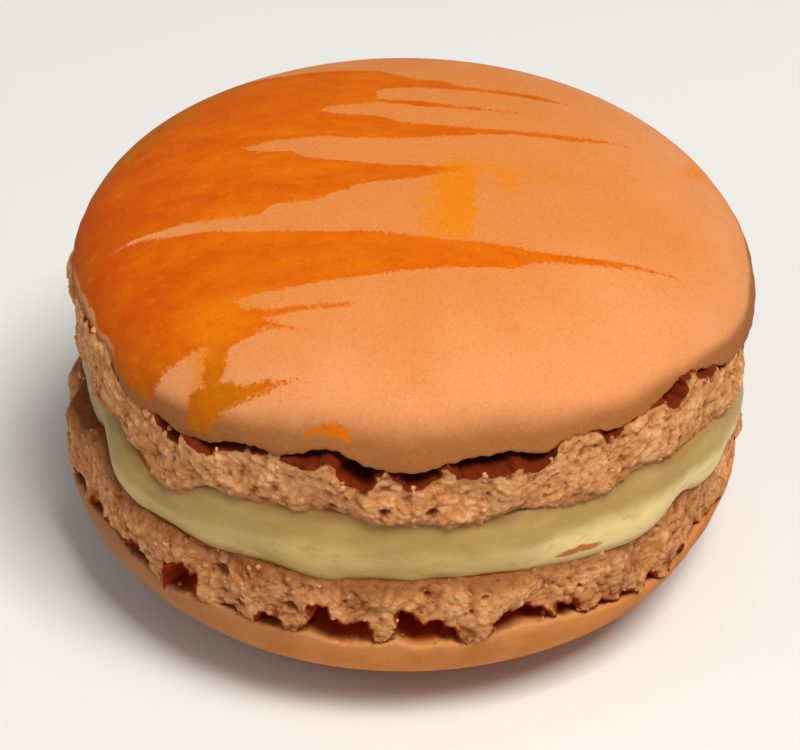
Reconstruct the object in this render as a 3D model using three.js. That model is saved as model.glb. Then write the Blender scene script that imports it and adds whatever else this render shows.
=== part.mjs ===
// A filled almond meringue biscuit, as a three.js scene graph in millimetres, +Z up. Two domed shells, each with the
// frilled foot that it rose on, are sandwiched with a layer of butter cream. The origin is on the surface that the
// biscuit rests on, under its middle. Azimuth 0 is the front, at -Y, and azimuth grows towards +X, in degrees.
import * as THREE from 'three';

// Heights of the three layers, from the surface up.
const LOWER_HEIGHT = 11.55;
const CREAM_HEIGHT = 5;
const UPPER_HEIGHT = 11.9;

// Each shell is described from its inner face, the one that the cream sticks to: first its foot, then the torn rim
// of the smooth skin, then the dome. The lower shell is the same thing turned over. A wave or a hollow is given by
// the azimuth of its middle, its half width in degrees, and its size.
const UPPER = {
  innerFace: LOWER_HEIGHT + CREAM_HEIGHT,
  way: 1,
  height: UPPER_HEIGHT,
  offCentre: 0.4,
  domeBase: 3, // where the dome's side stands upright
  domeHeight: 8.92,
  domePower: 2.2, // a superellipse: 2 is an ellipse, and more is flatter on top
  domeLean: 0.75, // the dome is this much lower on the right, and higher on the left
  skinRadius: 22.2,
  skinWaves: [[150, 26, 0.2], [210, 20, -0.2]],
  footRadius: 22.25,
  seed: 31,
  rimHeight: 4.25,
  rimWaves: [
    [-75, 9, 0.75], [-61, 9, 0.6], [-52, 6.5, -1.3], [-39, 9, -1.1], [-13, 5, 0.6], [-2, 7, -0.4], [12, 8, 0.45],
    [37, 6, -0.8], [42, 16, 0.85], [69, 8, -0.5], [74, 13, -1.2], [120, 18, 0.4], [165, 22, -0.5], [215, 24, 0.5],
  ],
  footWaves: [[-44, 10, 0.15], [95, 24, -0.75], [150, 26, 0.25], [210, 20, -0.2]],
  leastSkirt: 0.55, // how far the foot's edge hangs past the inner face
  skirtWaves: [
    [-46, 9.5, 2], [-60, 6, 0.3], [14, 10, 0.25], [41, 4, -0.4], [51, 5, 0.35], [66, 9, 1], [120, 16, 0.5],
    [190, 20, 0.35], [235, 16, 0.4],
  ],
  hollows: [
    [-44, 4, 0.8], [-27, 3.2, 0.75], [-17, 3.2, 1], [-9, 4.4, 1.7], [1, 4.7, 1.1], [11.3, 5.2, 1.2],
    [19.6, 3, 1], [33, 3, 0.6], [46, 3.4, 1.1], [54, 2.8, 0.7], [61, 3, 0.6],
  ],
};
const LOWER = {
  innerFace: LOWER_HEIGHT,
  way: -1,
  height: LOWER_HEIGHT,
  offCentre: -0.4,
  domeBase: 4.02,
  domeHeight: 7.88,
  domePower: 2.5,
  domeLean: 0,
  skinRadius: 22.4,
  skinWaves: [[-50, 28, -0.35], [62, 15, -0.45], [140, 24, 0.2], [200, 18, -0.25]],
  footRadius: 22.5,
  seed: 47,
  rimHeight: 4.15,
  rimWaves: [
    [-78, 6, 0.2], [-58, 9, -0.8], [-43, 4, 0.4], [-8, 3, 0.4], [9, 5, 0.6], [47, 16, 1.2], [130, 22, 0.35],
    [225, 26, -0.3],
  ],
  footWaves: [[-65, 34, -0.35], [62, 15, -0.45], [140, 24, 0.2], [200, 18, -0.25]],
  leastSkirt: 0.08,
  skirtWaves: [[-66, 5, 1.6], [4.5, 3.5, 0.4], [52, 4, 0.75], [100, 18, 0.4], [160, 20, 0.3], [240, 24, 0.4]],
  hollows: [
    [-73, 4, 1], [-64, 3.5, 1], [-57, 3, 0.9], [-50, 3.8, 1.3], [-39.4, 4.8, 2.2], [-29, 2.8, 0.6],
    [-21.6, 3.4, 1.5], [-10, 6.2, 2.2], [0.8, 4.4, 2], [9, 3.4, 1.7], [18, 5.2, 1.7], [28, 4, 1.2],
    [35, 2.8, 0.8], [40.6, 2.4, 0.8], [46.2, 3, 1.1], [53, 3, 1.2], [60, 3, 0.6], [67, 3.4, 0.5],
  ],
};

// Hollows of these sizes follow one another round the back, with a pillar of foot between each two.
const BACK = { from: 74, to: 272, halfWidth: [2.6, 5.5], height: [0.4, 1.6], pillar: [1.5, 5] };

const SKIN_LIP = 0.35; // thickness of the torn edge of the skin
const LEAST_HOLLOW = 0.2; // the crease where the foot meets the rim
const CREASE_DEPTH = 0.5;
const HOLLOW_DEPTH = 2.7; // of the hollows of this height or more
const DEEP_FROM = 1.3;
const HOLLOW_ROOF = 0.3; // share of a hollow's height in its sloping roof, and in its sloping floor
const LEDGE = 0.55; // how far the foot's edge rises from the hollow's mouth to its own full width
const SKIRT_INSIDE = 20.4; // radius of the recess in which the cream sits
const FOOT_LEAN = 0.25;
const FOOT_CURL = 0.4; // how far the foot rounds under at its edge, over its last quarter
const CURL_FROM = 0.75;
const CONTACT_GAP = 0.3;

// Waves that run round a piece and climb its side: how many, how often each goes round, its climb in radians for
// each millimetre, and how far they reach together.
const BROAD_LUMPS = { count: 8, turns: [8, 20], climb: [0, 0.9], size: 0.2 };
const SMALL_LUMPS = { count: 10, turns: [22, 37], climb: [0.2, 1.7], size: 0.13 };
const TORN_EDGE = { count: 7, turns: [16, 37], climb: [0, 0], size: 0.11 };
const CREAM_LUMPS = { count: 7, turns: [6, 20], climb: [0, 0.9], size: 0.12 };

const CREAM_RADIUS = 21.7;
const CREAM_WAVES = [[-76, 14, -0.9], [-45, 14, 0.3], [46, 24, 0.45], [70, 14, 0.2], [150, 30, -0.4], [215, 26, 0.3]];
const CREAM_BULGE = 0.4;
const CREAM_SEED = 83;

const SEGMENTS = 150; // round the rim, the foot and the cream
const COARSE = 50; // round the dome and the inner face, whose rings have fewer corners
const DOME_RINGS = 8;
const FOOT_RINGS = 7;
const CREAM_RINGS = 5;

const radians = THREE.MathUtils.degToRad;

// Numbers from 0 to 1 in an order that the seed sets: each is 16807 times the one before, modulo 2^31 - 1.
function draws(seed) {
  let state = seed * 7919;
  return () => {
    state = (state * 16807) % 2147483647;
    return state / 2147483647;
  };
}

const between = (draw, [low, high]) => low + (high - low) * draw();

// Degrees from one azimuth to another, the short way round.
const apart = (a, b) => ((((a - b) % 360) + 540) % 360) - 180;

// The sum of smooth rises, each a bell curve at its own azimuth.
const rise = (waves, azimuth) =>
  waves.reduce((sum, [at, width, size]) => sum + size * Math.exp(-((apart(azimuth, at) / width) ** 2)), 0);

// The sum of sine waves that run round a piece and climb its side.
function lumps({ count, turns, climb, size }, seed) {
  const draw = draws(seed);
  const waves = Array.from({ length: count }, () => ({
    turns: Math.round(between(draw, turns)),
    climb: between(draw, climb) * (draw() < 0.5 ? -1 : 1),
    phase: 2 * Math.PI * draw(),
  }));
  const share = size * Math.sqrt(2 / count);
  return (azimuth, height) =>
    waves.reduce(
      (sum, wave) => sum + share * Math.sin(wave.turns * radians(azimuth) + wave.climb * height + wave.phase),
      0,
    );
}

// The front's hollows, and those that carry on round the back.
function allHollows(shell) {
  const draw = draws(shell.seed);
  const found = [...shell.hollows];
  let edge = BACK.from;
  for (;;) {
    const halfWidth = between(draw, BACK.halfWidth);
    const height = between(draw, BACK.height);
    if (edge + 2 * halfWidth > BACK.to) return found;
    found.push([edge + halfWidth, halfWidth, height]);
    edge += 2 * halfWidth + between(draw, BACK.pillar);
  }
}

// Height of the hollow at an azimuth: each is full in the middle and closes quickly at its two ends.
function hollowHeight(hollows, azimuth) {
  const open = hollows.map(([at, halfWidth, height]) => {
    const share = apart(azimuth, at) / halfWidth;
    return Math.abs(share) < 1 ? height * (1 - share ** 4) : 0;
  });
  return Math.max(LEAST_HOLLOW, ...open);
}

// A closed surface of rings round the Z axis, from one point on the axis to the other. Each ring has its number of
// corners and a function that gives its radius and height at an azimuth. One of two neighbouring rings has as many
// corners as the other, or a whole multiple. way is 1 if the rings run downwards, and -1 if they run upwards.
function turned(rings, first, last, offCentre, way) {
  const points = [offCentre, 0, first];
  const starts = rings.map(({ corners, at }) => {
    const start = points.length / 3;
    for (let corner = 0; corner < corners; corner++) {
      const azimuth = (360 * corner) / corners;
      const [radius, height] = at(azimuth);
      points.push(offCentre + radius * Math.sin(radians(azimuth)), -radius * Math.cos(radians(azimuth)), height);
    }
    return start;
  });
  points.push(offCentre, 0, last);
  const tip = points.length / 3 - 1;
  const faces = [];
  const face = (a, b, c) => faces.push(...(way > 0 ? [a, b, c] : [a, c, b]));
  const corner = (ring, number) => starts[ring] + (number % rings[ring].corners);
  for (let number = 0; number < rings[0].corners; number++) face(0, corner(0, number), corner(0, number + 1));
  for (let ring = 0; ring + 1 < rings.length; ring++) {
    const upper = rings[ring].corners;
    const lower = rings[ring + 1].corners;
    const shared = Math.min(upper, lower);
    for (let part = 0; part < shared; part++) {
      const above = (part * upper) / shared;
      const below = (part * lower) / shared;
      for (let step = 0; step < lower / shared; step++) {
        face(corner(ring, above), corner(ring + 1, below + step), corner(ring + 1, below + step + 1));
      }
      for (let step = 0; step < upper / shared; step++) {
        face(corner(ring, above + step), corner(ring + 1, below + lower / shared), corner(ring, above + step + 1));
      }
    }
  }
  const end = rings.length - 1;
  for (let number = 0; number < rings[end].corners; number++) face(corner(end, number + 1), corner(end, number), tip);
  const geometry = new THREE.BufferGeometry();
  geometry.setAttribute('position', new THREE.Float32BufferAttribute(points, 3));
  geometry.setIndex(faces);
  geometry.computeVertexNormals();
  return geometry;
}

// The smooth skin, from the flat on top of the dome, where the shell's height cuts its superellipse, to the rim.
function skinRings(shell, rimAt) {
  const { domeBase, domeHeight, domePower, skinRadius } = shell;
  const angleAt = (height) => {
    const share = Math.min(1, Math.max(0, (height - domeBase) / domeHeight));
    return Math.asin(share ** (domePower / 2));
  };
  const topAngle = angleAt(shell.height);
  return Array.from({ length: DOME_RINGS }, (_, ring) => ({
    corners: ring === DOME_RINGS - 1 ? SEGMENTS : COARSE,
    at: (azimuth) => {
      const rim = rimAt(azimuth);
      const lean = shell.domeLean * Math.sin(radians(azimuth));
      const angle = topAngle + (angleAt(rim + lean) - topAngle) * (ring / (DOME_RINGS - 1));
      const across = Math.cos(angle) ** (2 / domePower);
      const radius = (skinRadius + rise(shell.skinWaves, azimuth) * across) * across;
      if (ring === DOME_RINGS - 1) return [radius, rim];
      return [radius, domeBase + domeHeight * Math.sin(angle) ** (2 / domePower) - lean * across];
    },
  }));
}

// The hollow under the rim: the skin's torn edge, the roof and the floor of the hollow, and the foot's ledge.
function hollowRings(shell, rimAt, openAt, footAt) {
  const depthAt = (azimuth) => {
    const share = Math.min(1, (openAt(azimuth) - LEAST_HOLLOW) / (DEEP_FROM - LEAST_HOLLOW));
    return CREASE_DEPTH + (HOLLOW_DEPTH - CREASE_DEPTH) * share;
  };
  const edge = (azimuth) => shell.skinRadius + rise(shell.skinWaves, azimuth);
  const ring = (at) => ({ corners: SEGMENTS, at });
  return [
    ring((azimuth) => [edge(azimuth) - SKIN_LIP, rimAt(azimuth) - (HOLLOW_ROOF / 2) * openAt(azimuth)]),
    ring((azimuth) => [edge(azimuth) - depthAt(azimuth), rimAt(azimuth) - HOLLOW_ROOF * openAt(azimuth)]),
    ring((azimuth) => [edge(azimuth) - depthAt(azimuth), rimAt(azimuth) - (1 - HOLLOW_ROOF) * openAt(azimuth)]),
    ring((azimuth) => {
      const floor = rimAt(azimuth) - openAt(azimuth);
      return [footAt(azimuth, floor) - LEDGE, floor];
    }),
  ];
}

// How far the foot's edge hangs past the inner face at an azimuth.
const skirtOf = (shell) => (azimuth) => shell.leastSkirt + rise(shell.skirtWaves, azimuth);

// The foot's frilled side, from its ledge to the edge that hangs past the inner face, and the inner face itself.
function footRings(shell, rimAt, openAt, footAt) {
  const skirtAt = skirtOf(shell);
  const side = Array.from({ length: FOOT_RINGS }, (_, ring) => ({
    corners: SEGMENTS,
    at: (azimuth) => {
      const share = ring / (FOOT_RINGS - 1);
      const ledge = rimAt(azimuth) - openAt(azimuth) - LEDGE / 2;
      const height = ledge - (ledge + skirtAt(azimuth)) * share;
      const curl = FOOT_CURL * (Math.max(0, share - CURL_FROM) / (1 - CURL_FROM)) ** 2;
      return [footAt(azimuth, height) - FOOT_LEAN * share ** 2 - curl, height];
    },
  }));
  return [
    ...side,
    { corners: SEGMENTS, at: (azimuth) => [SKIRT_INSIDE, -skirtAt(azimuth)] },
    { corners: COARSE, at: () => [SKIRT_INSIDE, 0] },
  ];
}

function shellGeometry(shell) {
  const { way, innerFace, seed } = shell;
  const hollows = allHollows(shell);
  const broad = lumps(BROAD_LUMPS, seed + 1);
  const small = lumps(SMALL_LUMPS, seed + 2);
  const torn = lumps(TORN_EDGE, seed + 3);
  const rimAt = (azimuth) => shell.rimHeight + rise(shell.rimWaves, azimuth) + torn(azimuth, 0);
  const openAt = (azimuth) => hollowHeight(hollows, azimuth);
  const footAt = (azimuth, height) =>
    shell.footRadius + rise(shell.footWaves, azimuth) + broad(azimuth, height) + small(azimuth, height);
  const rings = [
    ...skinRings(shell, rimAt),
    ...hollowRings(shell, rimAt, openAt, footAt),
    ...footRings(shell, rimAt, openAt, footAt),
  ];
  const placed = rings.map(({ corners, at }) => ({
    corners,
    at: (azimuth) => {
      const [radius, height] = at(azimuth);
      return [radius, innerFace + way * height];
    },
  }));
  return turned(placed, innerFace + way * shell.height, innerFace, shell.offCentre, way);
}

// The cream: flat where it meets the two inner faces, with a soft bulging edge between the two feet.
function creamGeometry() {
  const wave = lumps(CREAM_LUMPS, CREAM_SEED);
  const top = UPPER.innerFace - CONTACT_GAP;
  const bottom = LOWER.innerFace + CONTACT_GAP;
  const core = SKIRT_INSIDE - Math.abs(UPPER.offCentre) - CONTACT_GAP;
  const edgeTop = (azimuth) => top - skirtOf(UPPER)(azimuth);
  const edgeBottom = (azimuth) => bottom + skirtOf(LOWER)(azimuth);
  const side = Array.from({ length: CREAM_RINGS }, (_, ring) => ({
    corners: SEGMENTS,
    at: (azimuth) => {
      const share = ring / (CREAM_RINGS - 1);
      const height = edgeTop(azimuth) + (edgeBottom(azimuth) - edgeTop(azimuth)) * share;
      const bulge = CREAM_BULGE * Math.sin(Math.PI * share) + wave(azimuth, height);
      return [CREAM_RADIUS + rise(CREAM_WAVES, azimuth) + bulge, height];
    },
  }));
  const rings = [
    { corners: COARSE, at: () => [core, top] },
    { corners: SEGMENTS, at: (azimuth) => [core, edgeTop(azimuth)] },
    ...side,
    { corners: SEGMENTS, at: (azimuth) => [core, edgeBottom(azimuth)] },
    { corners: COARSE, at: () => [core, bottom] },
  ];
  return turned(rings, top, bottom, 0, 1);
}

function piece(name, geometry, color, roughness) {
  const mesh = new THREE.Mesh(geometry, new THREE.MeshStandardMaterial({ color, roughness, metalness: 0 }));
  mesh.name = name;
  return mesh;
}

const macaron = new THREE.Group();
macaron.name = 'macaron';
macaron.add(
  piece('upper_shell', shellGeometry(UPPER), 0xee9a62, 0.75),
  piece('cream', creamGeometry(), 0xc9ae6a, 0.5),
  piece('lower_shell', shellGeometry(LOWER), 0xc8804c, 0.8),
);

export default macaron;
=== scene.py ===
import bpy
import numpy as np
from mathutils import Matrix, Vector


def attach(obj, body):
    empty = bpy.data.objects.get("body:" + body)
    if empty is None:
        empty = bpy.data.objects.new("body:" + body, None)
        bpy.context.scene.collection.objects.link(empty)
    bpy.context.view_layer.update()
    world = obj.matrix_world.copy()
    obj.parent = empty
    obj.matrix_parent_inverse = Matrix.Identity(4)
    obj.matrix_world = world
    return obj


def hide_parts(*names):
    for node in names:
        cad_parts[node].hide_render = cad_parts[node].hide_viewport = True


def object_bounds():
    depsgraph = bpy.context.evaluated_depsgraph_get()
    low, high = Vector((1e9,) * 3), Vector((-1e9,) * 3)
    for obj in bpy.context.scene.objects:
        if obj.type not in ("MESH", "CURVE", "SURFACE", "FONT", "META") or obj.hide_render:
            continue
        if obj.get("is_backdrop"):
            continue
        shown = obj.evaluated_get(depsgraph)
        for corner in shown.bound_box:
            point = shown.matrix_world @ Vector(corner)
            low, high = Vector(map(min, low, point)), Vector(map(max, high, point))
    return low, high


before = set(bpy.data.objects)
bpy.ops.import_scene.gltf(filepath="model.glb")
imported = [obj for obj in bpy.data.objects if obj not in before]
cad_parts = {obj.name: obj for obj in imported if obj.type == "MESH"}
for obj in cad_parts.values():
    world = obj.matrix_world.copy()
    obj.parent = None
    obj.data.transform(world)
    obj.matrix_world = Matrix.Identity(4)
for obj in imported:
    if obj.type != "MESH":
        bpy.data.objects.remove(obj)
cad_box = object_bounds()

# Lower shell: the foot.
# The lower half of the biscuit is a baked almond meringue that lies on its dome. Its foot is the open,
# crumbly foam that pushed out under the skin in the oven, with deep hollows where the skin tore free of it,
# and a few crumbs lie loose on it and on the ledge below.

# Sizes are in millimetres and degrees. Heights are measured from the inner face, the one with the cream on
# it, and azimuth 0 is the front, growing towards the right. A wave or a hollow has its azimuth, half width
# and size, and a bubble its azimuth, height and radius.
MM = 0.001  # a millimetre in metres
lower = {
    "inner_face": 11.55,  # its height over the table
    "way": -1,  # heights from the inner face go down
    "height": 11.55,
    "off_centre": -0.4,  # along x
    "dome_base": 4.02,
    "dome_height": 7.88,
    "dome_power": 2.5,
    "dome_lean": 0.0,
    "skin_radius": 22.4,
    "skin_waves": [(-50, 28, -0.35), (62, 15, -0.45), (140, 24, 0.2), (200, 18, -0.25)],
    "foot_radius": 22.5,
    "seed": 47,
    "rim_height": 4.15,
    "rim_waves": [(-78, 6, 0.2), (-58, 9, -0.8), (-50, 22, 0.65), (-43, 4, 0.4), (-12, 9, 0.35), (-8, 3, 0.3),
                  (3, 6, 0.35), (9, 5, 0.5), (47, 16, 1.2), (130, 22, 0.35), (225, 26, -0.3)],
    "foot_waves": [(-65, 34, -0.35), (62, 15, -0.45), (140, 24, 0.2), (200, 18, -0.25)],
    "least_skirt": 0.08,  # how far the foot's edge hangs past the inner face
    "skirt_waves": [(-66, 5, 1.6), (4.5, 3.5, 0.4), (52, 4, 0.75), (100, 18, 0.4), (160, 20, 0.3),
                    (240, 24, 0.4)],
    "hollows": [(-73, 3.6, 1), (-64, 3.8, 1), (-57, 3.2, 1), (-49.8, 3.6, 1.4), (-40.3, 3.5, 3),
                (-38.6, 4.6, 1.8), (-29, 1.6, 0.7), (-21.6, 2.6, 1.3), (-13, 3.4, 2.9), (-9, 5.9, 2),
                (0.8, 3.1, 2.7), (5.6, 4, 1.8), (17, 3.6, 2.1), (20.5, 3.8, 1.4), (28, 3.5, 1.3),
                (34.6, 1.8, 0.8), (39.4, 1.6, 0.9), (45, 2.6, 1.1), (52, 2.4, 1.2), (59, 2.4, 0.7),
                (66, 3, 0.6)],
    "bubbles": [(-65, 0.6, 0.4), (-60, 1.1, 0.25), (-31, 1.5, 0.5), (-25.7, 0.8, 0.22), (-27, 3, 0.35),
                (-18, 2.2, 0.4), (4, 0.9, 0.3), (13, 1, 0.25), (50.5, 2.1, 0.35), (47, 0.9, 0.2)],
}
HOLLOWS_BEHIND = {"from": 74, "to": 272, "half_width": (2.6, 5.5), "height": (0.4, 1.6), "pillar": (1.5, 5)}
# Waves all round: how many, their turns round the biscuit, their climb up its side and their size.
BROAD_LUMPS = {"count": 8, "turns": (8, 20), "climb": (0, 0.9), "size": 0.2}
SMALL_LUMPS = {"count": 10, "turns": (22, 37), "climb": (0.2, 1.7), "size": 0.13}
TORN_EDGE = {"count": 7, "turns": (16, 37), "climb": (0, 0), "size": 0.11}
# Layers of soft noise: the lumps' size, their depth and a step of the seed.
RIM_NOISE = [(1.3, 0.16, 0), (0.5, 0.13, 1)]
SKIRT_NOISE = [(0.9, 0.07, 4)]
MOUTH_NOISE_ROUND = [(1.4, 1.5, 5), (0.55, 0.7, 6)]  # degrees
MOUTH_NOISE_DOWN = [(1.2, 0.3, 7), (0.5, 0.22, 8)]
HOLLOW_NOISE = [(0.9, 0.5, 9)]
CREVICE_NOISE = [(2.6, 0.45, 10)]
BUBBLE_NOISE = [(0.35, 0.5, 12)]
SOFT_CRUMB = [(2.2, 0.1, 22)]
CRUMB_SIZES = [(0.8, 0.13), (0.42, 0.1)]  # the width and height of the rounded crumbs
CRUMB_TALLEST = 0.14
CRUMB_SHADE = 0.16  # the height of crumb that counts as 1 in its colour
FOOT_CORNERS = 1280
FOOT_ROWS = 68
HIDDEN_ROWS = 6  # of these, inside the skin
EDGE_ROWS = 7
CORE_RADIUS = 10  # of the last ring before the axis
HIDDEN_RADIUS = 12
HIDDEN_TOP = 0.7  # how far the foot reaches up inside the skin
HIDDEN_STEP = 1.2  # how far it is drawn in there, past the torn edge
SKIRT_INSIDE = 20.4
FOOT_INSET = 0.12  # leaves room for the crumb inside the solid's outline
BROAD_SHARE = 0.85  # the lumps are a little flatter than the solid's, since the crumb comes on top
SMALL_SHARE = 0.7
FOOT_LEAN = 0.25  # how much narrower the foot is at its edge than at the rim
FOOT_CURL = 0.4  # how far its edge curls in
CURL_FROM = 0.75  # the share of the way down where the curl starts
CREASE = 0.25  # how far the foot is drawn in where it meets the rim
CREASE_HEIGHT = 0.5
CREVICE = -0.1  # height of the dark crevice between two hollows, which its noise opens here and there
HOLLOW_DEPTH = 2.9
HOLLOW_LIP = 0.42  # how far inside the mouth a hollow has its whole depth
SMALL_BUBBLES = {"count": 260, "radius": (0.07, 0.26), "edge_margin": 0.3}
BUBBLE_WIDENING = 1.25
BUBBLE_DEPTH = 1.3  # times its radius
BUBBLE_SHADE = 0.3  # the depth of a bubble with the darkest colour
LOOSE_CRUMBS = {"count": 1100, "radius": (0.09, 0.22), "uneven": 0.55, "sunk": 0.5}
LEDGE_INWARDS = [0.15, 0.3, 0.5, 0.9]  # where the ledge crumbs lie, in from the rim
LEDGE_SPOTS = 4000
BALL_ROWS = 5
BALL_CORNERS = 9


def drawer(seed):
    """Numbers from low to high in a set order: each state is 16807 times the last, modulo 2^31 - 1."""
    modulus = 2**31 - 1
    state = [seed * 7919]

    def draw(low=0.0, high=1.0):
        state[0] = state[0] * 16807 % modulus
        return low + (high - low) * state[0] / modulus

    return draw


def apart(a, b):
    """Degrees from azimuth b to azimuth a, the short way round."""
    return (a - b + 180) % 360 - 180


def rise(waves, azimuth):
    """The sum of bell curves: size times e to the minus square of the distance over the half width."""
    return sum(size * np.exp(-((apart(azimuth, at) / width) ** 2)) for at, width, size in waves)


def lumps(kind, seed, azimuth, height):
    """The sum of sine waves, each with its own turns round the biscuit, climb up its side and phase."""
    draw = drawer(seed)
    share = kind["size"] * np.sqrt(2 / kind["count"])
    total = np.zeros(np.broadcast(azimuth, height).shape)
    for _ in range(kind["count"]):
        turns = int(draw(*kind["turns"]) + 0.5)
        climb = draw(*kind["climb"])
        way = -1 if draw() < 0.5 else 1
        phase = 2 * np.pi * draw()
        total += share * np.sin(turns * np.radians(azimuth) + climb * way * height + phase)
    return total


def all_hollows(shell):
    """The hollows of the front, and those that a seeded draw sets one after another round the back."""
    draw = drawer(shell["seed"])
    found = list(shell["hollows"])
    edge = HOLLOWS_BEHIND["from"]
    while True:
        half_width = draw(*HOLLOWS_BEHIND["half_width"])
        height = draw(*HOLLOWS_BEHIND["height"])
        if edge + 2 * half_width > HOLLOWS_BEHIND["to"]:
            return found
        found.append((edge + half_width, half_width, height))
        edge += 2 * half_width + draw(*HOLLOWS_BEHIND["pillar"])


def scattered(cell, seed):
    """Three numbers from -1 to 1 for each cell of a grid: its whole-number place and the seed, stirred with
    large odd factors and shifts, and three groups of ten bits of the outcome."""
    key = (cell * np.array([73856093, 19349663, 83492791])).sum(-1) + seed * 2654435761
    key = (key ^ (key >> 13)) * 1274126177 & 0xFFFFFFFF
    key = (key ^ (key >> 16)) * 2246822519 & 0xFFFFFFFF
    key = key ^ (key >> 15)
    return np.stack([key & 0x3FF, key >> 10 & 0x3FF, key >> 20 & 0x3FF], -1) / 511.5 - 1


def cloud(points, size, seed):
    """Soft noise from about -1 to 1: a random slope at each corner of a grid of cubes of this size, blended
    between the corners with the curve 6t^5 - 15t^4 + 10t^3."""
    cell = np.floor(points / size).astype(np.int64)
    part = points / size - cell
    eased = part * part * part * (part * (part * 6 - 15) + 10)
    total = np.zeros(points.shape[:-1])
    for corner in range(8):
        step = np.array([corner & 1, corner >> 1 & 1, corner >> 2])
        value = (scattered(cell + step, seed) * (part - step)).sum(-1)
        total += value * np.prod(np.where(step, eased, 1 - eased), axis=-1)
    return 1.7 * total


def noise_sum(layers, points, seed):
    """The sum of soft noises, each times its depth."""
    return sum(depth * cloud(points, size, seed + step) for size, depth, step in layers)


def grains(points, size, seed):
    """Rounded grains with sharp creases between them, from about -0.7 to 0.6: each grid cube holds one middle
    at a random place, and a grain falls away with the square of the distance to the nearest middle. The grid
    is bent by soft noise first, so that it doesn't show."""
    bent = points / size + 0.35 * cloud(points, size * 1.5, seed + 90)[..., None]
    cell = np.floor(bent).astype(np.int64)
    nearest = np.full(points.shape[:-1], 9.0)
    for neighbour in range(27):
        step = np.array([neighbour % 3, neighbour // 3 % 3, neighbour // 9]) - 1
        middle = cell + step + 0.5 + 0.45 * scattered(cell + step, seed)
        nearest = np.minimum(nearest, ((bent - middle) ** 2).sum(-1))
    return 0.6 - 2.2 * nearest.clip(0, 0.6)


def crumbs_of_two_sizes(points, seed):
    """The rounded crumb: the sum of the grains of both sizes, each times its height."""
    return sum(tall * grains(points, size, seed + step) for step, (size, tall) in enumerate(CRUMB_SIZES))


def step_up(value, low, high):
    """0 below low, 1 above high, and a smooth cubic between."""
    share = np.clip((value - low) / (high - low), 0, 1)
    return share * share * (3 - 2 * share)


def placed(shell, azimuth, radius, height):
    """Points in the part's frame from azimuth, radius and height above the inner face."""
    azimuth, radius, height = np.broadcast_arrays(np.radians(azimuth), radius, height)
    return np.stack([
        shell["off_centre"] + radius * np.sin(azimuth),
        -radius * np.cos(azimuth),
        shell["inner_face"] + shell["way"] * height,
    ], -1)


def smooth_piece(name, points, faces, fields):
    """An object with a smooth-shaded mesh, and a value of each field for each of its points."""
    mesh = bpy.data.meshes.new(name)
    mesh.from_pydata(points, [], faces)
    for field, values in fields.items():
        layer = mesh.attributes.new(field, "FLOAT", "POINT")
        layer.data.foreach_set("value", values.astype(np.float32))
    mesh.polygons.foreach_set("use_smooth", np.ones(len(mesh.polygons), bool))
    mesh.update()
    piece = bpy.data.objects.new(name, mesh)
    bpy.context.collection.objects.link(piece)
    return piece


def ring_mesh(name, way, rings, fields):
    """A closed surface. rings is an array of (ring, corner, xyz) in millimetres, and its first and last rings
    are drawn together to a point. Neighbouring rings are joined with four-sided faces, and way is -1 where
    the rings run upwards. fields holds a value for each corner of each ring."""
    count, corners = rings.shape[:2]
    points = np.concatenate([rings[0].mean(0)[None], rings.reshape(-1, 3), rings[-1].mean(0)[None]]) * MM
    ring, corner = np.meshgrid(np.arange(count - 1), np.arange(corners), indexing="ij")
    here = 1 + ring * corners + corner
    beside = 1 + ring * corners + (corner + 1) % corners
    quads = np.stack([here, here + corners, beside + corners, beside], -1).reshape(-1, 4)
    first = 1 + np.arange(corners)
    first_beside = 1 + (np.arange(corners) + 1) % corners
    base = (count - 1) * corners
    start = np.stack([np.zeros(corners, int), first, first_beside], -1)
    end = np.stack([np.full(corners, len(points) - 1), base + first_beside, base + first], -1)
    if way < 0:
        quads, start, end = quads[:, ::-1], start[:, ::-1], end[:, ::-1]
    values = {field: np.concatenate([value[0, :1], value.reshape(-1), value[-1, :1]])
              for field, value in fields.items()}
    return smooth_piece(name, points, quads.tolist() + start.tolist() + end.tolist(), values)


def rim_line(shell, azimuth):
    """The rim's height: its broad waves, the waves of its torn edge and a finer raggedness."""
    spot = placed(shell, azimuth, shell["skin_radius"], 0)
    torn = lumps(TORN_EDGE, shell["seed"] + 3, azimuth, 0)
    ragged = noise_sum(RIM_NOISE, spot, shell["seed"])
    return shell["rim_height"] + rise(shell["rim_waves"], azimuth) + torn + ragged


def rim_angle(shell, azimuth):
    """The angle up the dome's superellipse at which the rim cuts it off."""
    lean = shell["dome_lean"] * np.sin(np.radians(azimuth))
    share = (rim_line(shell, azimuth) + lean - shell["dome_base"]) / shell["dome_height"]
    return np.arcsin(np.clip(share, 0, 1) ** (shell["dome_power"] / 2))


def mouths(shell, azimuth, height, spot):
    """How far inside a hollow's mouth a point is, in millimetres: the hollow's height there less the distance
    down from the rim, or the distance from the hollow's side where that is less, both shifted about so that
    the mouth is ragged."""
    seed = shell["seed"]
    bent = azimuth + noise_sum(MOUTH_NOISE_ROUND, spot, seed)
    down = rim_line(shell, azimuth) - height + noise_sum(MOUTH_NOISE_DOWN, spot, seed)
    best = CREVICE + noise_sum(CREVICE_NOISE, spot, seed) - down
    for at, half_width, tall in all_hollows(shell):
        share = np.clip(np.abs(apart(bent, at) / half_width), 0, 1.2)
        inside = tall * (1 - share**3) - down
        side = (1 - share) * np.radians(half_width) * shell["foot_radius"]
        best = np.maximum(best, np.where(inside > 0, np.minimum(inside, side), inside))
    return np.maximum(best, -1)


def skirt_line(shell, azimuth):
    """How far the foot's edge hangs past the inner face."""
    return shell["least_skirt"] + rise(shell["skirt_waves"], azimuth)


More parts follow.
